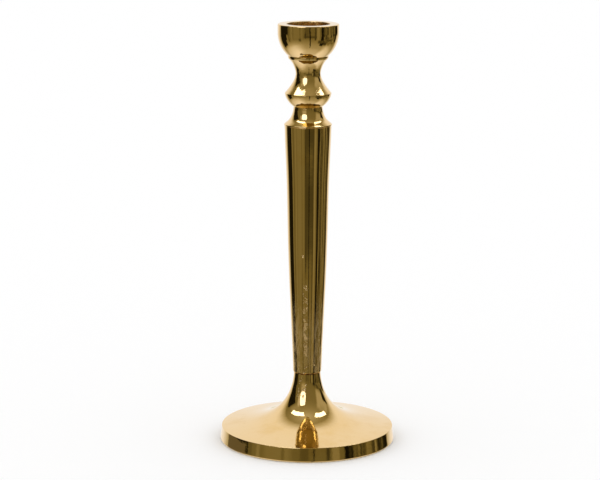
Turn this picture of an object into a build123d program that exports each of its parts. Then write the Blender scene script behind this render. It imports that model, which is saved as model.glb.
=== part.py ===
"""Turned brass candlestick: five brass turnings clamped on one tie rod, with felt under the foot.

Millimetres. +Z is up along the turning axis, and the origin is on that axis at the surface
that the candlestick stands on. Outlines are (radius, height) pairs on the XZ plane.
"""
import os

from build123d import *

# Heights of the joints between the turned pieces
overall_height = 225.0
cup_seat = 208.15
knop_seat = 181.0
collar_seat = 171.5
foot_seat = 37.0
foot_underside = 0.3

# Largest radius of each turned piece
cup_radius = 16.15
flange_radius = 10.65
knop_radius = 12.35
collar_radius = 12.65
column_radius = 12.45
foot_radius = 47.0
foot_top_radius = 46.1

# Candle socket, for a 22 mm candle end
socket_radius = 11.4
socket_floor = 210.2
socket_corner = 1.5
socket_lip = 0.35
rim_edge = 0.5

# Tie rod, M6: threads are plain cylinders near the pitch radius
rod_radius = 2.66
rod_length = 200.0
rod_top = 209.8
rod_point = 0.6
tapped_radius = 2.69
clearance_radius = 3.3

# Register spigots between the pieces, radius and height of each
cup_spigot = (4.9, 4.0)
knop_spigot = (5.4, 3.0)
collar_spigot = (8.9, 4.5)
foot_spigot = (4.5, 3.0)
register_gap = 0.1
register_slack = 0.4

# Small edges
fine_edge = 0.15
soft_edge = 0.3

# Column cavity and foot shell
cavity_top_radius = 9.0
cavity_foot_radius = 5.0
cavity_foot = 58.0
column_web = 54.0
column_hem = 1.2
nut_seat = 20.0
nut_well_radius = 8.6
shell = 3.2
rim_wall_radius = 41.0
foot_bottom_edge = 0.8

# Felt ring in its groove
felt_inner_radius = 42.1
felt_outer_radius = 45.1
felt_thickness = 1.2
groove_depth = 0.9
groove_gap = 0.1

# Fasteners under the foot
washer_radius = 6.0
washer_thickness = 1.6
washer_hole_radius = 3.2
spring_washer_radius = 5.9
spring_washer_hole_radius = 3.05
spring_washer_thickness = 1.6
spring_washer_split = 0.9
split_lean = 25.0
nut_across_flats = 10.0
nut_height = 5.0
nut_face_radius = 4.6


def corner(section, radius, height):
    """The corner of a section nearest to a radius and height."""
    return section.vertices().sort_by_distance((radius, height, 0))[0]


os.makedirs("parts", exist_ok=True)

# ---------------------------------------------------------------- candle cup
belly_top = 220.5
belly_foot_radius = 10.75
cup_hem = cup_seat + 0.15

with BuildPart() as candle_cup:
    with BuildSketch(Plane.XZ) as cup_section:
        with BuildLine():
            Polyline(
                (tapped_radius, cup_seat - cup_spigot[1]),
                (tapped_radius, socket_floor),
                (socket_radius, socket_floor),
                (socket_radius, overall_height),
                (cup_radius, overall_height),
                (cup_radius, belly_top),
            )
            TangentArc(
                (cup_radius, belly_top),
                (belly_foot_radius, cup_hem),
                tangent=(0, -1),
            )
            Polyline(
                (belly_foot_radius, cup_hem),
                (belly_foot_radius - fine_edge, cup_seat),
                (cup_spigot[0], cup_seat),
                (cup_spigot[0], cup_seat - cup_spigot[1]),
                (tapped_radius, cup_seat - cup_spigot[1]),
            )
        make_face()
        fillet(corner(cup_section, socket_radius, socket_floor), socket_corner)
        fillet(corner(cup_section, socket_radius, overall_height), socket_lip)
        fillet(corner(cup_section, cup_radius, overall_height), rim_edge)
        chamfer(corner(cup_section, cup_spigot[0], cup_seat - cup_spigot[1]), soft_edge)
    revolve(axis=Axis.Z)
candle_cup.part.label = "candle_cup"
export_step(candle_cup.part, "parts/candle_cup.step")

# ---------------------------------------------------------------- neck and knop
flange_edge = 207.4
flange_foot = 206.7
flange_foot_radius = 10.4
knop_edge = 188.55
knop_hem_radius = 7.65
knop_hem = knop_seat + 0.4

with BuildPart() as neck_knop:
    with BuildSketch(Plane.XZ) as knop_section:
        with BuildLine():
            Polyline(
                (clearance_radius, knop_seat - knop_spigot[1]),
                (clearance_radius, cup_seat - cup_spigot[1] - register_slack),
                (cup_spigot[0] + register_gap, cup_seat - cup_spigot[1] - register_slack),
                (cup_spigot[0] + register_gap, cup_seat),
                (flange_radius, cup_seat),
                (flange_radius, flange_edge),
                (flange_foot_radius, flange_foot),
            )
            Spline(
                (flange_foot_radius, flange_foot),
                (8.55, 204.6),
                (7.05, 201.3),
                (6.62, 198.8),
                (7.3, 195.9),
                (9.0, 192.8),
                (knop_radius, knop_edge),
            )
            Spline(
                (knop_radius, knop_edge),
                (11.45, 185.6),
                (10.15, 183.65),
                (knop_hem_radius, knop_hem),
            )
            Polyline(
                (knop_hem_radius, knop_hem),
                (knop_hem_radius, knop_seat),
                (knop_spigot[0], knop_seat),
                (knop_spigot[0], knop_seat - knop_spigot[1]),
                (clearance_radius, knop_seat - knop_spigot[1]),
            )
        make_face()
        fillet(corner(knop_section, flange_radius, cup_seat), fine_edge)
        fillet(corner(knop_section, knop_radius, knop_edge), soft_edge)
        chamfer(corner(knop_section, knop_spigot[0], knop_seat - knop_spigot[1]), soft_edge)
    revolve(axis=Axis.Z)
neck_knop.part.label = "neck_knop"
export_step(neck_knop.part, "parts/neck_knop.step")

# ---------------------------------------------------------------- shoulder collar
collar_top_radius = 7.7
collar_lip = 0.6

with BuildPart() as shoulder_collar:
    with BuildSketch(Plane.XZ) as collar_section:
        with BuildLine():
            Polyline(
                (clearance_radius, collar_seat - collar_spigot[1]),
                (clearance_radius, knop_seat - knop_spigot[1] - register_slack),
                (knop_spigot[0] + register_gap, knop_seat - knop_spigot[1] - register_slack),
                (knop_spigot[0] + register_gap, knop_seat),
                (collar_top_radius, knop_seat),
            )
            Spline(
                (collar_top_radius, knop_seat),
                (8.35, 177.6),
                (10.25, 174.2),
                (11.45, 173.15),
                (collar_radius, collar_seat + collar_lip),
            )
            Polyline(
                (collar_radius, collar_seat + collar_lip),
                (collar_radius, collar_seat),
                (collar_spigot[0], collar_seat),
                (collar_spigot[0], collar_seat - collar_spigot[1]),
                (clearance_radius, collar_seat - collar_spigot[1]),
            )
        make_face()
        fillet(corner(collar_section, collar_top_radius, knop_seat), fine_edge)
        fillet(corner(collar_section, collar_radius, collar_seat + collar_lip), soft_edge)
        fillet(corner(collar_section, collar_radius, collar_seat), fine_edge)
        chamfer(corner(collar_section, collar_spigot[0], collar_seat - collar_spigot[1]), soft_edge)
    revolve(axis=Axis.Z)
shoulder_collar.part.label = "shoulder_collar"
export_step(shoulder_collar.part, "parts/shoulder_collar.step")

# ---------------------------------------------------------------- column
column_foot_radius = 7.58
mouth_floor = collar_seat - collar_spigot[1] - register_slack
foot_recess = foot_seat + foot_spigot[1] + register_slack

with BuildPart() as column:
    with BuildSketch(Plane.XZ) as column_section:
        with BuildLine():
            Polyline(
                (foot_spigot[0] + register_gap, foot_seat),
                (foot_spigot[0] + register_gap, foot_recess),
                (clearance_radius, foot_recess),
                (clearance_radius, column_web),
                (cavity_foot_radius, cavity_foot),
                (cavity_top_radius, mouth_floor),
                (collar_spigot[0] + register_gap, collar_seat),
                (column_radius, collar_seat),
            )
            Spline(
                (column_radius, collar_seat),
                (12.2, 163.0),
                (11.47, 146.6),
                (10.67, 114.2),
                (9.9, 89.7),
                (8.72, 65.0),
                (column_foot_radius, foot_seat),
            )
            Line(
                (column_foot_radius, foot_seat),
                (foot_spigot[0] + register_gap, foot_seat),
            )
        make_face()
        fillet(corner(column_section, column_radius, collar_seat), soft_edge)
        fillet(corner(column_section, column_foot_radius, foot_seat), column_hem)
    revolve(axis=Axis.Z)
column.part.label = "column"
export_step(column.part, "parts/column.step")

# ---------------------------------------------------------------- foot
foot_neck_radius = 7.15
foot_top_edge = 7.9

with BuildPart() as foot:
    with BuildSketch(Plane.XZ) as foot_section:
        with BuildLine():
            Polyline(
                (clearance_radius, nut_seat),
                (clearance_radius, foot_seat + foot_spigot[1]),
                (foot_spigot[0], foot_seat + foot_spigot[1]),
                (foot_spigot[0], foot_seat),
                (foot_neck_radius, foot_seat),
            )
            Spline(
                (foot_neck_radius, foot_seat),
                (7.65, 32.8),
                (8.6, 28.8),
                (10.55, 24.1),
                (14.05, 19.05),
                (20.0, 14.5),
                (30.0, 10.8),
                (foot_top_radius, foot_top_edge),
            )
            Polyline(
                (foot_top_radius, foot_top_edge),
                (foot_radius, foot_underside),
                (rim_wall_radius, foot_underside),
                (rim_wall_radius, foot_top_edge - shell),
            )
            Spline(
                (rim_wall_radius, foot_top_edge - shell),
                (30.0, 10.8 - shell),
                (18.2, 11.9),
                (11.9, 16.9),
                (nut_well_radius, nut_seat),
            )
            Line((nut_well_radius, nut_seat), (clearance_radius, nut_seat))
        make_face()
        fillet(corner(foot_section, foot_top_radius, foot_top_edge), soft_edge)
        fillet(corner(foot_section, foot_radius, foot_underside), foot_bottom_edge)
        chamfer(corner(foot_section, foot_spigot[0], foot_seat + foot_spigot[1]), soft_edge)
    revolve(axis=Axis.Z)
    with BuildSketch(Plane.XY.offset(foot_underside)):
        Circle(felt_outer_radius + groove_gap)
        Circle(felt_inner_radius - groove_gap, mode=Mode.SUBTRACT)
    extrude(amount=groove_depth, mode=Mode.SUBTRACT)
foot.part.label = "foot"
export_step(foot.part, "parts/foot.step")

# ---------------------------------------------------------------- felt ring
with BuildPart() as felt_ring:
    with BuildSketch(Plane.XY):
        Circle(felt_outer_radius)
        Circle(felt_inner_radius, mode=Mode.SUBTRACT)
    extrude(amount=felt_thickness)
felt_ring.part.label = "felt_ring"
export_step(felt_ring.part, "parts/felt_ring.step")

# ---------------------------------------------------------------- tie rod
with BuildPart() as tie_rod:
    with BuildSketch(Plane.XY.offset(rod_top - rod_length)):
        Circle(rod_radius)
    extrude(amount=rod_length)
    chamfer(tie_rod.edges().filter_by(GeomType.CIRCLE), rod_point)
tie_rod.part.label = "tie_rod"
export_step(tie_rod.part, "parts/tie_rod.step")

# ---------------------------------------------------------------- flat washer
washer_underside = nut_seat - washer_thickness

with BuildPart() as flat_washer:
    with BuildSketch(Plane.XY.offset(washer_underside)):
        Circle(washer_radius)
        Circle(washer_hole_radius, mode=Mode.SUBTRACT)
    extrude(amount=washer_thickness)
    chamfer(flat_washer.edges().filter_by(GeomType.CIRCLE).group_by(SortBy.RADIUS)[-1], soft_edge)
flat_washer.part.label = "flat_washer"
export_step(flat_washer.part, "parts/flat_washer.step")

# ---------------------------------------------------------------- spring washer
spring_underside = washer_underside - spring_washer_thickness

with BuildPart() as spring_washer:
    with BuildSketch(Plane.XY.offset(spring_underside)):
        Circle(spring_washer_radius)
        Circle(spring_washer_hole_radius, mode=Mode.SUBTRACT)
    extrude(amount=spring_washer_thickness)
    with BuildSketch(Plane.YZ):
        with Locations((0, spring_underside + spring_washer_thickness / 2)):
            Rectangle(spring_washer_split, 2 * washer_radius, rotation=split_lean)
    extrude(amount=washer_radius, mode=Mode.SUBTRACT)
spring_washer.part.label = "spring_washer"
export_step(spring_washer.part, "parts/spring_washer.step")

# ---------------------------------------------------------------- hex nut
nut_underside = spring_underside - nut_height
nut_corner_radius = nut_across_flats / 3 ** 0.5
nut_bevel = (nut_corner_radius - nut_face_radius) / 3 ** 0.5

with BuildPart() as hex_nut:
    with BuildSketch(Plane.XY.offset(nut_underside)):
        RegularPolygon(radius=nut_corner_radius, side_count=6)
        Circle(tapped_radius, mode=Mode.SUBTRACT)
    extrude(amount=nut_height)
    with BuildSketch(Plane.XZ):
        with BuildLine():
            Polyline(
                (0, nut_underside),
                (nut_face_radius, nut_underside),
                (nut_corner_radius, nut_underside + nut_bevel),
                (nut_corner_radius, spring_underside - nut_bevel),
                (nut_face_radius, spring_underside),
                (0, spring_underside),
                close=True,
            )
        make_face()
    revolve(axis=Axis.Z, mode=Mode.INTERSECT)
hex_nut.part.label = "hex_nut"
export_step(hex_nut.part, "parts/hex_nut.step")
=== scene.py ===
"""Looks of the turned brass candlestick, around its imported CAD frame. Metres. Angles are in radians, but in
degrees where a comment says so."""

import math

import bpy
import numpy as np
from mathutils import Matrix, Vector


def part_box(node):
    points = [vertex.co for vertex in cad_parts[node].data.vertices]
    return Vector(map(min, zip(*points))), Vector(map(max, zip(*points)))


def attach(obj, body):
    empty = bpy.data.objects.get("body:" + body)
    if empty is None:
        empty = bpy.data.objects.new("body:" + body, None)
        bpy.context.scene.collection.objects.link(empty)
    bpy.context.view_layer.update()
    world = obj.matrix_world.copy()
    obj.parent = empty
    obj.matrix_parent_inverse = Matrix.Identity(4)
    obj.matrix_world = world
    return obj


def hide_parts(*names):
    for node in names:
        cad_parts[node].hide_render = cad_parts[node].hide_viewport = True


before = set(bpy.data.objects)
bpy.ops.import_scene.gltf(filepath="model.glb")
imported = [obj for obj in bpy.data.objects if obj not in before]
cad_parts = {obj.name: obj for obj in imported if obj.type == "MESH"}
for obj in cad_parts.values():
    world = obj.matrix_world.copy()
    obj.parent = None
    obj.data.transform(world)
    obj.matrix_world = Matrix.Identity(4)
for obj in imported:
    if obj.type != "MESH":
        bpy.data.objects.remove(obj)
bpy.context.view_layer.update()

MM = 0.001
AXIS_TURNS = 192          # steps round the axis on a turned piece
OUTLINE_TURN = 2.5        # degrees, the most that an outline turns in one step

# Camera, at the photograph's viewing angle: pitch and roll in degrees, lens in millimetres
CAMERA_DISTANCE = 1.164
CAMERA_HEIGHT = 0.348
CAMERA_PITCH = 11.58
CAMERA_ASIDE = -0.0047
CAMERA_ROLL = -0.15
CAMERA_LENS = 133.7

# Colours
BRASS = (0.87, 0.615, 0.30)
BRASS_STAINED = (0.83, 0.56, 0.235)
BRASS_TARNISHED = (0.62, 0.42, 0.17)
ZINC = (0.66, 0.68, 0.71)
ZINC_YELLOW = (0.70, 0.66, 0.52)
ZINC_BLUE = (0.52, 0.58, 0.70)
FELT_DARK = (0.012, 0.030, 0.018)
FELT_LIGHT = (0.040, 0.085, 0.052)

# Casting pores: how many per metre, and the patches of them, by angles in radians and heights
PORES_PER_METRE = 1400.0
PORE_PATCHES = {
    "column": ((-0.26, 0.02), (40.0 * MM, 87.0 * MM)),
    "foot": ((-0.62, -0.05), (25.0 * MM, 35.0 * MM)),
}

# How many times per metre each pattern of the brass repeats
TURNING_MARKS = 2600.0
BUFFING_WAVES = 150.0
BUFFING_RIPPLES = 480.0
HAIRLINES = 900.0
STAINS = 70.0
SCUFFS = 620.0
PORE_CROWDS = 300.0
# Depths of the patterns
WAVE_DEPTH = 14e-6
MARK_DEPTH = 0.8e-6
HAIRLINE_DEPTH = 0.3e-6
PIT_DEPTH = 400e-6
# Depth of the ripples that buffing leaves
RIPPLE_DEPTH = {
    "candle_cup": 26e-6,
    "neck_knop": 65e-6,
    "shoulder_collar": 45e-6,
    "column": 9e-6,
    "foot": 24e-6,
}
# The column is dull low down, but less so in front, where it is rubbed
DULL_TOP = 84.0 * MM
DULL_FULL = 58.0 * MM
RUBBED_ANGLE = 0.35
# Dents in the column: angle in radians, height and radius
DENTS = ((-0.245, 102.7 * MM, 0.8 * MM), (0.50, 42.5 * MM, 0.55 * MM), (-0.25, 38.2 * MM, 0.8 * MM))

# Tie rod's rolled thread, an M6, and the lengths of it at the two ends
THREAD_PITCH = 1.0 * MM
THREAD_ROOT = 2.42 * MM
THREAD_CREST = 2.95 * MM
THREAD_SHARP = 55.0       # degrees, the least angle between faces that shows as an edge
THREAD_AROUND = 48        # steps round the rod, and along one pitch
THREAD_ALONG = 8
ROD_POINT = 0.3 * MM
LOWER_THREAD = 18.0 * MM
UPPER_THREAD = 12.0 * MM

# Rough surfaces: inside the candle socket, below its lip, and inside the foot's shell
SOCKET_RADIUS = 11.5 * MM
SOCKET_DEPTH = 15.0 * MM
SOCKET_LIP = 0.4 * MM
SHELL_RADIUS = 41.3 * MM

# Felt ring
FELT_WIDTH = 3.0 * MM
FELT_WOBBLE = 0.05 * MM
FELT_SEED = 7
FELT_AROUND = 720
FELT_ACROSS = 40
FELT_SMOOTHINGS = 3
FELT_SQUARENESS = 0.35    # power that flattens a round section, from 1 for round down to 0 for square

# Studio, with all its angles in degrees. Grey levels of the room by the angle above the horizon, and of the
# table by the angle below it, in front of the object and beside it
ROOM = ((0, 0.135), (16, 0.165), (40, 0.18), (52, 0.22), (64, 0.28), (74, 0.35), (84, 0.46))
TABLE_FRONT = ((0, 0.13), (16, 0.15), (24, 0.20), (36, 0.28), (54, 0.38), (62, 0.50), (78, 0.60))
TABLE_SIDE = ((0, 0.15), (20, 0.17), (30, 0.30), (36, 0.44), (42, 0.68), (54, 0.88), (66, 1.0), (78, 0.6))
# White backdrop: the direction of its middle, and its grey level by degrees from there
BACKDROP_ELEVATION = 10.0
BACKDROP = ((38, 0.97), (44, 0.84), (50, 0.60), (57, 0.36), (64, 0.0))
# Screens, stands and lights: level, azimuths, elevations, softness and lean
SCREENS = (
    (0.40, (62, 118), (13, 52), 14.0, 0.0),      # pale wall on the right
    (0.19, (-58, -22), (-20, 14), 10.0, 0.0),    # wall on the left
    (0.30, (-100, -48), (44, 62), 12.0, 0.0),    # glow round the lights
    (0.42, (-44, -14), (6, 20), 10.0, 0.0),
    (0.55, (-60, -50), (24, 50), 8.0, 0.0),
    (0.34, (82, 104), (40, 56), 10.0, 0.0),
    (0.06, (60, 94), (-30, 5), 5.0, 0.0),        # shelves on the right
    (0.04, (60, 82), (-38, -20), 6.0, 0.0),
    (0.045, (44, 108), (2, 9), 5.0, 0.0),
    (0.14, (94, 118), (-22, 2), 5.0, 0.0),
    (0.07, (79, 113), (-14, 2), 4.0, 0.0),
    (0.16, (84, 100), (-34, -24), 6.0, 0.0),
    (0.009, (-127, -90), (-2, 38), 4.0, 0.42),   # black flags
    (0.009, (-126, -90.5), (-20, 0), 3.0, 0.0),
    (0.009, (-126, -97), (-33, -17), 4.0, 0.0),
    (0.010, (-99, -83.5), (-9, 4), 3.0, 0.0),
    (0.012, (97, 119), (2, 24), 5.0, 0.2),
    (0.008, (114, 132), (-21, 3), 4.0, 0.0),
    (0.008, (128, 141), (-9, 2), 4.0, 0.0),
    (0.005, (50, 66), (-42, 6), 3.0, 0.0),
    (0.014, (64, 79), (-19, 4), 3.0, 0.0),
    (0.22, (-91, -86), (-26, -8), 3.0, 0.0),     # stands and the gaps between them
    (0.11, (-83, -77), (-26, 3), 3.0, 0.0),
    (0.22, (-70, -65), (-26, 0), 3.0, 0.0),
    (0.13, (-34, -30), (-26, 0), 3.0, 0.0),
    (0.23, (33, 43), (-24, 3), 3.0, 0.0),
    (0.05, (25, 30), (-24, 4), 3.0, 0.0),
    (0.14, (12, 19), (-20, 2), 3.0, 0.0),
    (0.012, (-14, -9), (-17, -6), 2.5, 0.0),
    (0.09, (-9, 2), (-16, 2), 3.0, 0.0),
    (0.06, (-16, 32), (-15, -10), 4.0, 0.0),
    (0.002, (3.8, 7.8), (-54, -5), 1.0, -0.053),
    (0.02, (7.9, 9.9), (-5, 6), 1.0, 0.0),
    (0.08, (-38, -29), (-28, -18), 5.0, 0.0),
    (0.06, (40, 62), (-34, -24), 5.0, 0.0),
)
SOFTBOX_AZIMUTH = (-47.0, -11.0)
SOFTBOX_ELEVATION = (20.5, 52.0)
SOFTBOX_POWER = 2.4
# Overhead softboxes: middle, size and turn about the vertical
OVERHEAD = (((-0.275, -0.04, 0.68), (0.40, 0.15), -20.0), ((0.35, 0.07, 0.68), (0.37, 0.15), 34.0))
OVERHEAD_GLOW = 2.8
OVERHEAD_COLOUR = (0.94, 1.0, 1.09)
# What is left of the light when a reflection sees another reflection
REFLECTED_AGAIN = (0.78, 0.75, 0.47)
# Patch of painted shade: a dim warm glowing sheet for the shaded table top beside the foot, drawn out the way
# that the rim reflects
PATCH_RADIUS = 47.5 * MM
PATCH_REACH = 46.0 * MM
PATCH_HEIGHT = 0.1 * MM
PATCH_AZIMUTHS = (-65.0, -45.0)
PATCH_STEPS = 24
# the patch's dim warm glow is painted shade, seen only in reflections
PAINTED_SHADE_GLOW = (0.138, 0.118, 0.064)
# Tint of the studio's light: warm up to a dim level, white at level 1 and cold from a bright level on
DIM_TINT = (1.15, 1.0, 0.36)
WHITE = (1.0, 1.0, 1.0)
BRIGHT_TINT = (0.95, 1.0, 1.08)
DIM_LEVEL = 0.13
BRIGHT_LEVEL = 1.5
# How fast the warmth goes as the level rises, and the light that is left where it is darkest
DIM_FALL = 1.6
DARKEST = 0.0015
# How much of the clutter on the right shows, and how fine it is
CLUTTER = 0.7
CLUTTER_SCALE = 9.0
SOFT_LIGHT = (1.03, 1.03, 1.03)
FLOOR_SIZE = 6.0
FLOOR_WHITE = (0.97, 0.97, 0.97)


# ------------------------------------------------------------------ outlines
def seam_edges(node):
    """Edges of a CAD node in the half-plane y = 0, x > 0, as {(start, end): (normal, normal)}, in (r, z)."""
    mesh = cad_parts[node].data
    on_seam = [abs(v.co.y) < 1e-7 and v.co.x > 0 for v in mesh.vertices]
    normals = mesh.corner_normals
    found = {}
    for face in mesh.polygons:
        loops = list(face.loop_indices)
        for here, there in zip(loops, loops[1:] + loops[:1]):
            a, b = (mesh.loops[i].vertex_index for i in (here, there))
            if not (on_seam[a] and on_seam[b]):
                continue
            ends = [(round(mesh.vertices[v].co.x, 7), round(mesh.vertices[v].co.z, 7)) for v in (a, b)]
            sides = [(normals[i].vector.x, normals[i].vector.z) for i in (here, there)]
            if ends[0] > ends[1]:
                ends.reverse()
                sides.reverse()
            if ends[0] != ends[1]:
                found[tuple(ends)] = sides
    return found


def close_flats(edges):
    """Adds the flat faces, which have no seam of their own: loose ends at one height are joined in pairs."""
    uses = {}
    for edge in edges:
        for end in edge:
            uses[end] = uses.get(end, 0) + 1
    loose = sorted((z, r) for (r, z), count in uses.items() if count == 1)
    for (z, r), (other_z, other_r) in zip(loose[::2], loose[1::2]):
        edges[((r, z), (other_r, other_z))] = None
    return edges


def outline(node):
    """A turned node's closed outline as runs in order: (start, end, start tangent, end tangent)."""
    edges = close_flats(seam_edges(node))
    at = {}
    for edge in edges:
        for end in edge:
            at.setdefault(end, []).append(edge)
    here = min(at)
    edge, ordered = None, []
    while len(ordered) < len(edges):
        edge = next(e for e in at[here] if e is not edge)
        there = edge[1] if edge[0] == here else edge[0]
        sides = edges[edge]
        chord = np.subtract(there, here)
        chord /= np.linalg.norm(chord)
        tangents = [chord, chord]
        if sides is not None:
            pair = sides if edge[0] == here else sides[::-1]
            for i, (nr, nz) in enumerate(pair):
                tangent = np.array((-nz, nr)) / math.hypot(nr, nz)
                tangents[i] = tangent if tangent @ chord > 0 else -tangent
        ordered.append((np.array(here), np.array(there), *tangents))
        here = there
    return ordered


def dense(runs):
    """Points and tangents along an outline, on a cubic curve through each run's ends and tangents."""
    spans = []
    for start, end, leaving, arriving in runs:
        turn = math.degrees(math.acos(np.clip(leaving @ arriving, -1, 1)))
        steps = max(1, math.ceil(turn / OUTLINE_TURN))
        length = np.linalg.norm(end - start)
        t = np.linspace(0, 1, steps + 1)[:, None]
        points = ((2 * t**3 - 3 * t**2 + 1) * start + (t**3 - 2 * t**2 + t) * length * leaving
                  + (-2 * t**3 + 3 * t**2) * end + (t**3 - t**2) * length * arriving)
        slopes = ((6 * t**2 - 6 * t) * start + (3 * t**2 - 4 * t + 1) * length * leaving
                  + (-6 * t**2 + 6 * t) * end + (3 * t**2 - 2 * t) * length * arriving)
        spans.append((points, slopes / np.linalg.norm(slopes, axis=1)[:, None]))
    return spans


def turned(node, name):
    """A turned CAD node made again as a fine lathed mesh, with the exact normals of its outline."""
    spans = dense(outline(node))
    rings = np.concatenate([points[:-1] for points, _ in spans])
    area = sum(a[0] * b[1] - b[0] * a[1] for a, b in zip(rings, np.roll(rings, -1, axis=0)))
    outward = 1 if area > 0 else -1
    count = len(rings)
    angle = np.arange(AXIS_TURNS) * 2 * math.pi / AXIS_TURNS
    cos, sin = np.cos(angle), np.sin(angle)
    co = np.stack([np.outer(cos, rings[:, 0]), np.outer(sin, rings[:, 0]),
                   np.outer(np.ones(AXIS_TURNS), rings[:, 1])], axis=-1).reshape(-1, 3)
    faces, normals = [], []
    starts = np.concatenate([tangents[:-1] for _, tangents in spans])
    ends = np.concatenate([tangents[1:] for _, tangents in spans])
    for k in range(AXIS_TURNS):
        after = (k + 1) % AXIS_TURNS
        for i in range(count):
            j = (i + 1) % count
            corners = [(k, i, starts[i]), (k, j, ends[i]), (after, j, ends[i]), (after, i, starts[i])]
            if outward > 0:
                corners.reverse()
            faces.append([turn * count + ring for turn, ring, _ in corners])
            for turn, _, (tr, tz) in corners:
                nr, nz = outward * tz, -outward * tr
                normals.append((nr * cos[turn], nr * sin[turn], nz))
    mesh = bpy.data.meshes.new(name)
    mesh.from_pydata(co.tolist(), [], faces)
    mesh.polygons.foreach_set("use_smooth", [True] * len(faces))
    mesh.normals_split_custom_set(normals)
    piece = bpy.data.objects.new(name, mesh)
    bpy.context.scene.collection.objects.link(piece)
    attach(piece, "root")
    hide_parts(node)
    return piece


# ------------------------------------------------------------------ node graphs
class Graph:
    """Short calls for building a node tree. A value is a number, a colour, a vector or a node's socket."""

    def __init__(self, tree):
        self.nodes, self.links = tree.nodes, tree.links

    def plug(self, socket, value):
        if isinstance(value, bpy.types.NodeSocket):
            self.links.new(value, socket)
        elif isinstance(value, tuple):
            socket.default_value = (*value, 1) if len(socket.default_value) == 4 else value
        else:
            socket.default_value = value

    def math(self, operation, *values):
        node = self.nodes.new("ShaderNodeMath")
        node.operation = operation
        for socket, value in zip(node.inputs, values):
            self.plug(socket, value)
        return node.outputs[0]

    def mix(self, factor, first, second, kind="FLOAT"):
        node = self.nodes.new("ShaderNodeMix")
        node.data_type = kind
        places = {"FLOAT": (0, 2, 3), "RGBA": (0, 6, 7)}[kind]
        for place, value in zip(places, (factor, first, second)):
            self.plug(node.inputs[place], value)
        return node.outputs[{"FLOAT": 0, "RGBA": 2}[kind]]

    def ease(self, value, start, end, low=0.0, high=1.0):
        """low up to start, high from end on, and a smooth rise between."""
        node = self.nodes.new("ShaderNodeMapRange")
        node.interpolation_type = "SMOOTHSTEP"
        numbers = {"Value": value, "From Min": start, "From Max": end, "To Min": low, "To Max": high}
        for name, number in numbers.items():
            self.plug(node.inputs[name], number)
        return node.outputs[0]

    def band(self, value, low, high, soft):
        """1 between low and high, with soft edges centred on them."""
        rise = self.ease(value, low - soft / 2, low + soft / 2)
        return self.math("MULTIPLY", rise, self.ease(value, high - soft / 2, high + soft / 2, 1.0, 0.0))

    def ramp(self, value, stops):
        node = self.nodes.new("ShaderNodeValToRGB")
        self.plug(node.inputs[0], value)
        elements = node.color_ramp.elements
        elements.remove(elements[-1])
        elements[0].position, elements[0].color = stops[0][0], (*stops[0][1], 1)
        for position, colour in stops[1:]:
            elements.new(position).color = (*colour, 1)
        return node.outputs["Color"]

    def noise(self, vector, scale, detail=2.0, roughness=0.5):
        node = self.nodes.new("ShaderNodeTexNoise")
        values = {"Vector": vector, "Scale": scale, "Detail": detail, "Roughness": roughness}
        for name, value in values.items():
            self.plug(node.inputs[name], value)
        return node.outputs["Fac"]

    def tint(self, colour, by):
        """One colour multiplied by another."""
        node = self.nodes.new("ShaderNodeMix")
        node.data_type, node.blend_type = "RGBA", "MULTIPLY"
        for place, value in zip((0, 6, 7), (1.0, colour, by)):
            self.plug(node.inputs[place], value)
        return node.outputs[2]

    def stretch(self, vector, scale):
        node = self.nodes.new("ShaderNodeVectorMath")
        node.operation = "MULTIPLY"
        self.plug(node.inputs[0], vector)
        self.plug(node.inputs[1], scale)
        return node.outputs[0]

    def coordinates(self, kind="Object"):
        return self.nodes.new("ShaderNodeTexCoord").outputs[kind]

    def split(self, vector):
        node = self.nodes.new("ShaderNodeSeparateXYZ")
        self.plug(node.inputs[0], vector)
        return node.outputs

    def bump(self, height, distance, normal=None):
        node = self.nodes.new("ShaderNodeBump")
        self.plug(node.inputs["Height"], height)
        self.plug(node.inputs["Distance"], distance)
        if normal is not None:
            self.plug(node.inputs["Normal"], normal)
        return node.outputs[0]


# ------------------------------------------------------------------ materials
def material(name, metallic, roughness, colour):
    made = bpy.data.materials.new(name)
    made.use_nodes = True
    shader = made.node_tree.nodes["Principled BSDF"]
    shader.inputs["Metallic"].default_value = metallic
    graph = Graph(made.node_tree)
    graph.plug(shader.inputs["Roughness"], roughness)
    graph.plug(shader.inputs["Base Color"], colour)
    return made, graph, shader


def cylinder_coordinates(graph, position):
    """Radius, angle and height of a point of a turned piece."""
    x, y, z = graph.split(position)
    radius = graph.math("SQRT", graph.math("ADD", graph.math("MULTIPLY", x, x), graph.math("MULTIPLY", y, y)))
    return radius, graph.math("ARCTAN2", x, graph.math("MULTIPLY", y, -1.0)), z


def dullness(graph, position, angle, height):
    """How dull the column is: cloudy scuffs, long along the column, that fade out upwards."""
    scuffs = graph.noise(graph.stretch(position, (1.0, 1.0, 0.2)), SCUFFS, 4.0, 0.7)
    dull = graph.math("MULTIPLY", graph.ease(height, DULL_TOP, DULL_FULL), graph.ease(scuffs, 0.36, 0.62))
    rubbed = graph.ease(graph.math("ABSOLUTE", angle), RUBBED_ANGLE, 2 * RUBBED_ANGLE, 0.45, 1.0)
    return graph.math("MULTIPLY", dull, rubbed)


def pore_depth(graph, position, angle, height, angles, heights):
    """How deep the pores are: small pits in a patch, crowded where a coarser noise is high."""
    pores = graph.nodes.new("ShaderNodeTexVoronoi")
    graph.plug(pores.inputs["Vector"], position)
    graph.plug(pores.inputs["Scale"], PORES_PER_METRE)
    across = graph.band(angle, *angles, 0.12)
    patch = graph.math("MULTIPLY", across, graph.band(height, *heights, 6.0 * MM))
    crowded = graph.ease(graph.noise(position, PORE_CROWDS, 3.0, 0.6), 0.44, 0.54)
    size = graph.math("MULTIPLY_ADD", graph.math("MULTIPLY", patch, crowded), 0.80, -0.02)
    return graph.ease(graph.math("SUBTRACT", size, pores.outputs["Distance"]), 0.0, 0.25)


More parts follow.
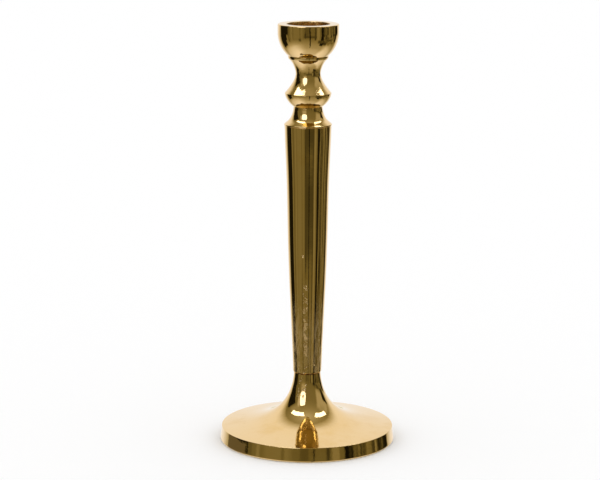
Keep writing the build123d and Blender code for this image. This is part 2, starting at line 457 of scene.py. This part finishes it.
def dent_depth(graph, radius, angle, height):
    """How deep the column's few dents are."""
    deepest = 0.0
    for dent_angle, dent_height, dent_radius in DENTS:
        aside = graph.math("MULTIPLY", graph.math("SUBTRACT", angle, dent_angle), radius)
        above = graph.math("SUBTRACT", height, dent_height)
        off = graph.math("SQRT", graph.math("ADD", graph.math("MULTIPLY", aside, aside),
                                            graph.math("MULTIPLY", above, above)))
        deepest = graph.math("MAXIMUM", deepest, graph.ease(off, dent_radius, 0.3 * dent_radius))
    return deepest


def polished_brass(node):
    """Brass turned and buffed to a mirror, with faint turning marks, ripples left by buffing, hairlines and
    stains, and pores on some pieces. The column also has a dull zone and dents."""
    made, graph, shader = material("brass_" + node, 1.0, 0.04, BRASS)
    position = graph.coordinates()
    radius, angle, height = cylinder_coordinates(graph, position)

    # turning marks run round the axis: noise that changes with height and radius alone
    rings = graph.nodes.new("ShaderNodeCombineXYZ")
    graph.plug(rings.inputs[0], radius)
    graph.plug(rings.inputs[2], height)
    marks = graph.noise(rings.outputs[0], TURNING_MARKS, 3.0, 0.7)
    waves = graph.noise(position, BUFFING_WAVES, 2.0)
    ripples = graph.noise(position, BUFFING_RIPPLES, 3.0, 0.6)
    hairlines = graph.noise(graph.stretch(position, (1.0, 1.0, 14.0)), HAIRLINES, 4.0, 0.75)
    stains = graph.noise(position, STAINS, 5.0, 0.6)

    rough = graph.math("MULTIPLY_ADD", graph.ease(hairlines, 0.55, 0.85), 0.04, 0.03)
    rough = graph.math("MULTIPLY_ADD", graph.ease(stains, 0.45, 0.8), 0.05, rough)
    normal = graph.bump(waves, WAVE_DEPTH)
    normal = graph.bump(marks, MARK_DEPTH, normal)
    normal = graph.bump(hairlines, HAIRLINE_DEPTH, normal)
    normal = graph.bump(ripples, RIPPLE_DEPTH[node], normal)

    if node in PORE_PATCHES:
        pit = pore_depth(graph, position, angle, height, *PORE_PATCHES[node])
        dull = 0.0
        if node == "column":
            pit = graph.math("MAXIMUM", pit, dent_depth(graph, radius, angle, height))
            dull = dullness(graph, position, angle, height)
        rough = graph.math("MULTIPLY_ADD", dull, 0.25, rough)
        rough = graph.math("MULTIPLY_ADD", pit, 0.3, rough)
        normal = graph.bump(graph.math("MULTIPLY", pit, -1.0), PIT_DEPTH, normal)
        # dried polish left in the dull zone and in the pits takes away some of the metal
        residue = graph.math("MAXIMUM", graph.math("MULTIPLY", dull, 0.17), graph.math("MULTIPLY", pit, 0.25))
        graph.plug(shader.inputs["Metallic"], graph.math("SUBTRACT", 1.0, residue))

    graph.plug(shader.inputs["Base Color"], graph.mix(
        graph.ease(stains, 0.45, 0.75), BRASS, BRASS_STAINED, "RGBA"))
    graph.plug(shader.inputs["Roughness"], rough)
    graph.plug(shader.inputs["Normal"], normal)
    return made


def cast_brass():
    """Brass left rough from the casting, where it was never buffed: grainy and dull, with bright spots."""
    made, graph, shader = material("brass_cast", 1.0, 0.4, BRASS)
    position = graph.coordinates()
    grain = graph.noise(position, 1500.0, 4.0, 0.65)
    lumps = graph.noise(position, 420.0, 3.0, 0.6)
    tarnish = graph.noise(position, 160.0, 4.0, 0.6)
    graph.plug(shader.inputs["Base Color"], graph.mix(
        graph.ease(tarnish, 0.35, 0.7), BRASS, BRASS_TARNISHED, "RGBA"))
    graph.plug(shader.inputs["Roughness"], graph.ease(grain, 0.3, 0.7, 0.16, 0.42))
    normal = graph.bump(lumps, 420e-6)
    graph.plug(shader.inputs["Normal"], graph.bump(grain, 90e-6, normal))
    return made


def zinc_plate(name, tint):
    """Bright zinc plate: a cold grey with a faint play of colour, tool marks and dull spots."""
    made, graph, shader = material(name, 1.0, 0.3, ZINC)
    position = graph.coordinates()
    cloud = graph.noise(position, 240.0, 4.0, 0.6)
    grain = graph.noise(graph.stretch(position, (1.0, 1.0, 6.0)), 2200.0, 3.0, 0.7)
    graph.plug(shader.inputs["Base Color"], graph.mix(graph.ease(cloud, 0.35, 0.7), ZINC, tint, "RGBA"))
    graph.plug(shader.inputs["Roughness"], graph.ease(cloud, 0.3, 0.75, 0.2, 0.42))
    graph.plug(shader.inputs["Normal"], graph.bump(grain, 4e-6))
    return made


def felt():
    """Wool felt: matted fibres of slightly different shades, soft at the edges."""
    made, graph, shader = material("felt_wool", 0.0, 0.95, FELT_DARK)
    position = graph.coordinates()
    fibres = graph.noise(graph.stretch(position, (1.0, 2.4, 1.0)), 1400.0, 5.0, 0.7)
    crossed = graph.noise(graph.stretch(position, (2.6, 1.0, 1.0)), 1700.0, 5.0, 0.7)
    matted = graph.math("MULTIPLY", graph.math("ADD", fibres, crossed), 0.5)
    graph.plug(shader.inputs["Base Color"], graph.mix(
        graph.ease(matted, 0.38, 0.62), FELT_DARK, FELT_LIGHT, "RGBA"))
    shader.inputs["Sheen Weight"].default_value = 0.5
    shader.inputs["Sheen Roughness"].default_value = 0.4
    graph.plug(shader.inputs["Normal"], graph.bump(matted, 180e-6))
    return made


# ------------------------------------------------------------------ brass pieces
def rough_where(piece, rough, test):
    """Gives the faces whose centre (r, z) and outward normal (r, z) pass the test the rough material."""
    piece.data.materials.append(rough)
    for face in piece.data.polygons:
        x, y, z = face.center
        radius = math.hypot(x, y)
        outward = (face.normal.x * x + face.normal.y * y) / radius
        if test(radius, z, outward, face.normal.z):
            face.material_index = 1


rough_brass = cast_brass()
turned_pieces = {}
for node in RIPPLE_DEPTH:
    turned_pieces[node] = turned(node, node + "_turned")
    turned_pieces[node].data.materials.append(polished_brass(node))

cup_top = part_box("candle_cup")[1][2]
socket_low, socket_high = cup_top - SOCKET_DEPTH, cup_top - SOCKET_LIP
rough_where(turned_pieces["candle_cup"], rough_brass,
            lambda r, z, outward, upward: r < SOCKET_RADIUS and socket_low < z < socket_high)
rough_where(turned_pieces["foot"], rough_brass,
            lambda r, z, outward, upward: r < SHELL_RADIUS and (upward < -0.1 or outward < -0.5))


# ------------------------------------------------------------------ tie rod
def lathed(name, heights, around, node, surface, radius_at):
    """A closed round solid from the bottom up, whose radius is radius_at(angle, height)."""
    points, faces = [(0, 0, heights[0])], []
    for height in heights:
        for k in range(around):
            angle = 2 * math.pi * k / around
            r = radius_at(angle, height)
            points.append((r * math.cos(angle), r * math.sin(angle), height))
    points.append((0, 0, heights[-1]))
    rows = len(heights)
    for k in range(around):
        after = (k + 1) % around
        faces.append((0, 1 + after, 1 + k))
        for row in range(rows - 1):
            here, above = 1 + row * around, 1 + (row + 1) * around
            faces.append((here + k, here + after, above + after, above + k))
        top = 1 + (rows - 1) * around
        faces.append((top + k, top + after, len(points) - 1))
    mesh = bpy.data.meshes.new(name)
    mesh.from_pydata(points, [], faces)
    mesh.polygons.foreach_set("use_smooth", [True] * len(faces))
    mesh.set_sharp_from_angle(angle=math.radians(THREAD_SHARP))
    piece = bpy.data.objects.new(name, mesh)
    bpy.context.scene.collection.objects.link(piece)
    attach(piece, "root")
    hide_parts(node)
    mesh.materials.append(surface)
    return piece


def threaded_rod(surface):
    """The tie rod: a plain shank at the pitch radius, with a rolled thread and a point at each end."""
    low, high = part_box("tie_rod")
    shank = high[0]
    bottom, top = low[2], high[2]
    step = THREAD_PITCH / THREAD_ALONG
    threaded_low, threaded_high = bottom + LOWER_THREAD, top - UPPER_THREAD
    lower = list(np.arange(bottom, threaded_low, step))
    upper = list(np.arange(threaded_high, top, step)) + [top]
    heights = lower + [threaded_low + step, threaded_high - step] + upper

    def radius_at(angle, height):
        end = min(height - bottom, top - height)
        runout = max(threaded_low - height, height - threaded_high)
        phase = (height / THREAD_PITCH - angle / (2 * math.pi)) % 1.0
        flank = min(max(1.5 * abs(2 * phase - 1) - 0.25, 0), 1)
        threaded = THREAD_ROOT + (THREAD_CREST - THREAD_ROOT) * flank
        blend = min(max(runout / THREAD_PITCH, 0), 1)
        return min(shank + (threaded - shank) * blend, THREAD_ROOT - ROD_POINT + end)

    return lathed("tie_rod_threaded", heights, THREAD_AROUND, "tie_rod",
                  surface, radius_at)


threaded_rod(zinc_plate("zinc_rod", ZINC_YELLOW))
for node, tint in (("flat_washer", ZINC_BLUE), ("spring_washer", ZINC_YELLOW), ("hex_nut", ZINC_BLUE)):
    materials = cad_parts[node].data.materials
    materials.clear()
    materials.append(zinc_plate("zinc_" + node, tint))


# ------------------------------------------------------------------ felt
def felt_piece():
    """The die-cut felt ring, with softly rounded edges and a surface that isn't quite even."""
    low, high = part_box("felt_ring")
    outer, bottom, top = high[0], low[2], high[2]
    inner = outer - FELT_WIDTH
    middle, half, thick = (outer + inner) / 2, (outer - inner) / 2, top - bottom
    rng = np.random.default_rng(FELT_SEED)
    wobble = rng.normal(size=(FELT_AROUND, FELT_ACROSS))
    for _ in range(FELT_SMOOTHINGS):
        wobble = (wobble + np.roll(wobble, 1, 0) + np.roll(wobble, 1, 1) + np.roll(wobble, -1, 0)) / 4
    wobble = FELT_WOBBLE * np.clip(wobble / np.abs(wobble).max(), -1, 1)
    points, faces = [], []
    for k in range(FELT_AROUND):
        angle = 2 * math.pi * k / FELT_AROUND
        for i in range(FELT_ACROSS):
            turn = 2 * math.pi * i / FELT_ACROSS
            c, s = math.cos(turn), math.sin(turn)
            wide = math.copysign(abs(c) ** FELT_SQUARENESS, c)
            high_up = math.copysign(abs(s) ** FELT_SQUARENESS, s)
            across_at = wide * (half - FELT_WOBBLE) + wobble[k, i] * c
            height_at = high_up * (thick / 2 - FELT_WOBBLE) + wobble[k, i] * s
            r = middle + across_at
            points.append((r * math.cos(angle), r * math.sin(angle), (bottom + top) / 2 + height_at))
            here, after = k * FELT_ACROSS, (k + 1) % FELT_AROUND * FELT_ACROSS
            j = (i + 1) % FELT_ACROSS
            faces.append((here + i, after + i, after + j, here + j))
    mesh = bpy.data.meshes.new("felt_ring_soft")
    mesh.from_pydata(points, [], faces)
    mesh.polygons.foreach_set("use_smooth", [True] * len(faces))
    piece = bpy.data.objects.new("felt_ring_soft", mesh)
    bpy.context.scene.collection.objects.link(piece)
    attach(piece, "root")
    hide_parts("felt_ring")
    mesh.materials.append(felt())


felt_piece()


# ------------------------------------------------------------------ studio
def again(graph, light_path):
    """White in a first reflection, and the colour of what is left in a reflection of a reflection."""
    second = graph.math("GREATER_THAN", light_path.outputs["Glossy Depth"], 1.5)
    return graph.mix(second, WHITE, REFLECTED_AGAIN, "RGBA")


def tinted(graph, level):
    """The colour of a grey level of the studio's light."""
    span = 1.0 - DIM_LEVEL
    short = graph.math("MULTIPLY_ADD", level, -1.0 / span, 1.0 / span)
    dim = graph.math("POWER", graph.math("MINIMUM", graph.math("MAXIMUM", short, 0.0), 1.0), DIM_FALL)
    over = graph.math("MULTIPLY_ADD", level, 1.0 / (BRIGHT_LEVEL - 1.0), -1.0 / (BRIGHT_LEVEL - 1.0))
    colour = graph.mix(dim, WHITE, DIM_TINT, "RGBA")
    colour = graph.mix(graph.math("MAXIMUM", over, 0.0), colour, BRIGHT_TINT, "RGBA")
    scaled = graph.nodes.new("ShaderNodeVectorMath")
    scaled.operation = "SCALE"
    graph.plug(scaled.inputs[0], colour)
    graph.plug(scaled.inputs["Scale"], graph.math("ADD", level, DARKEST))
    return scaled.outputs[0]


def studio_world():
    """What the brass reflects: a dim room, a white backdrop behind, softboxes in front and overhead, and dark
    screens beside the camera. Angles are in degrees: azimuth 0 is towards the camera and 90 to its right.
    Everything but a reflection sees plain white, which is the soft light of the scene."""
    world = bpy.data.worlds.new("studio")
    world.use_nodes = True
    world.node_tree.nodes.clear()
    graph = Graph(world.node_tree)
    x, y, z = graph.split(graph.coordinates("Generated"))
    nearness = graph.math("MULTIPLY", y, -1.0)
    azimuth = graph.math("MULTIPLY", graph.math("ARCTAN2", x, nearness), 180 / math.pi)
    elevation = graph.math("MULTIPLY", graph.math("ARCSINE", z), 180 / math.pi)

    def grey_ramp(value, stops, span):
        return graph.ramp(value, [(at / span, (grey, grey, grey)) for at, grey in stops])

    def box_mask(across, sides, heights, soft):
        return graph.math("MULTIPLY", graph.band(across, *sides, soft), graph.band(elevation, *heights, soft))

    # room and table
    room = grey_ramp(graph.math("MULTIPLY", elevation, 1 / 90), ROOM, 90)
    depth = graph.math("MULTIPLY", elevation, -1 / 90)
    beside = graph.math("MAXIMUM", graph.ease(azimuth, -5.0, -78.0), graph.ease(azimuth, 66.0, 100.0))
    table = graph.mix(beside, grey_ramp(depth, TABLE_FRONT, 90), grey_ramp(depth, TABLE_SIDE, 90))
    level = graph.mix(graph.ease(elevation, 2.0, -10.0), room, table)

    # backdrop, round the direction of its middle
    tilt = math.radians(BACKDROP_ELEVATION)
    along, upward = graph.math("MULTIPLY", y, math.cos(tilt)), graph.math("MULTIPLY", z, math.sin(tilt))
    facing = graph.math("ADD", along, upward)
    off = graph.math("MULTIPLY", graph.math("ARCCOSINE", facing), 1 / math.pi)
    level = graph.math("MAXIMUM", level, grey_ramp(off, BACKDROP, 180))

    # screens, with some clutter among them on the right
    shade = graph.noise(graph.coordinates("Generated"), CLUTTER_SCALE, 4.0, 0.7)
    cluttered = graph.math("MULTIPLY", box_mask(azimuth, (60, 120), (-28, 8), 10.0), CLUTTER)
    for grey, sides, heights, soft, lean in SCREENS:
        across = graph.math("MULTIPLY_ADD", elevation, -lean, azimuth)
        level = graph.mix(box_mask(across, sides, heights, soft), level, grey)
    level = graph.mix(cluttered, level, graph.ease(shade, 0.35, 0.75, 0.0, 0.4))

    # softbox in front, with rounded corners
    reach = []
    for value, (low, high) in ((azimuth, SOFTBOX_AZIMUTH), (elevation, SOFTBOX_ELEVATION)):
        place = graph.math("MULTIPLY_ADD", value, 2 / (high - low), -(high + low) / (high - low))
        reach.append(graph.math("POWER", graph.math("ABSOLUTE", place), 3.5))
    rounded = graph.ease(graph.math("ADD", *reach), 1.2, 0.85)
    level = graph.mix(rounded, level, SOFTBOX_POWER)

    light_path = graph.nodes.new("ShaderNodeLightPath")
    shown = graph.tint(tinted(graph, level), again(graph, light_path))
    shown = graph.mix(light_path.outputs["Is Glossy Ray"], SOFT_LIGHT, shown, "RGBA")
    background = graph.nodes.new("ShaderNodeBackground")
    graph.plug(background.inputs["Color"], shown)
    output = graph.nodes.new("ShaderNodeOutputWorld")
    graph.links.new(background.outputs[0], output.inputs[0])
    bpy.context.scene.world = world


def overhead_softboxes():
    """Panels near above the object, seen in its reflections only."""
    for i, (middle, size, turn) in enumerate(OVERHEAD):
        light = bpy.data.lights.new(f"overhead_{i}", "AREA")
        light.shape = "RECTANGLE"
        light.size, light.size_y = size
        light.energy = OVERHEAD_GLOW * math.pi * size[0] * size[1]
        light.color = OVERHEAD_COLOUR
        light.use_nodes = True
        graph = Graph(light.node_tree)
        light_path = graph.nodes.new("ShaderNodeLightPath")
        graph.plug(graph.nodes["Emission"].inputs["Color"], again(graph, light_path))
        panel = bpy.data.objects.new(light.name, light)
        panel.location = middle
        panel.rotation_euler = (0, 0, math.radians(turn))
        panel.visible_camera = panel.visible_diffuse = False
        bpy.context.scene.collection.objects.link(panel)


def painted_table_shade():
    """Painted shade of the table top close beside the foot: a dim warm glowing sheet, seen in reflections
    only, and mostly in the rim's.
    """
    rows = []
    for k in range(PATCH_STEPS + 1):
        azimuth = math.radians(np.interp(k, (0, PATCH_STEPS), PATCH_AZIMUTHS))
        x, y = PATCH_RADIUS * math.sin(azimuth), -PATCH_RADIUS * math.cos(azimuth)
        reach_x, reach_y = PATCH_REACH * math.sin(2 * azimuth), -PATCH_REACH * math.cos(2 * azimuth)
        rows.append((x, y, PATCH_HEIGHT))
        rows.append((x + reach_x, y + reach_y, PATCH_HEIGHT))
    mesh = bpy.data.meshes.new("painted_table_shade")
    mesh.from_pydata(rows, [], [(2 * k, 2 * k + 1, 2 * k + 3, 2 * k + 2) for k in range(PATCH_STEPS)])
    patch = bpy.data.objects.new("painted_table_shade", mesh)
    bpy.context.scene.collection.objects.link(patch)
    patch.visible_camera = patch.visible_diffuse = patch.visible_shadow = False
    made, graph, shader = material("painted_table_shade_sheet", 0.0, 1.0, (0.0, 0.0, 0.0))
    shader.inputs["Specular IOR Level"].default_value = 0.0
    shader.inputs["Emission Strength"].default_value = 1.0
    # dim warm glow: painted shade of the table top beside the foot
    graph.plug(shader.inputs["Emission Color"], PAINTED_SHADE_GLOW)
    mesh.materials.append(made)


studio_world()
overhead_softboxes()
painted_table_shade()

bpy.ops.mesh.primitive_plane_add(size=FLOOR_SIZE)
floor = bpy.context.object
floor.name = "floor"
floor.visible_glossy = False
pale, _, pale_shader = material("pale_floor", 0.0, 1.0, FLOOR_WHITE)
pale_shader.inputs["Specular IOR Level"].default_value = 0.0
floor.data.materials.append(pale)

lens = bpy.data.cameras.new("camera")
lens.lens = CAMERA_LENS
camera = bpy.data.objects.new("camera", lens)
camera.location = (CAMERA_ASIDE, -CAMERA_DISTANCE, CAMERA_HEIGHT)
camera.rotation_euler = (math.radians(90 - CAMERA_PITCH), math.radians(CAMERA_ROLL), 0)
bpy.context.scene.collection.objects.link(camera)
bpy.context.scene.camera = camera
bpy.context.scene.view_settings.view_transform = "Standard"
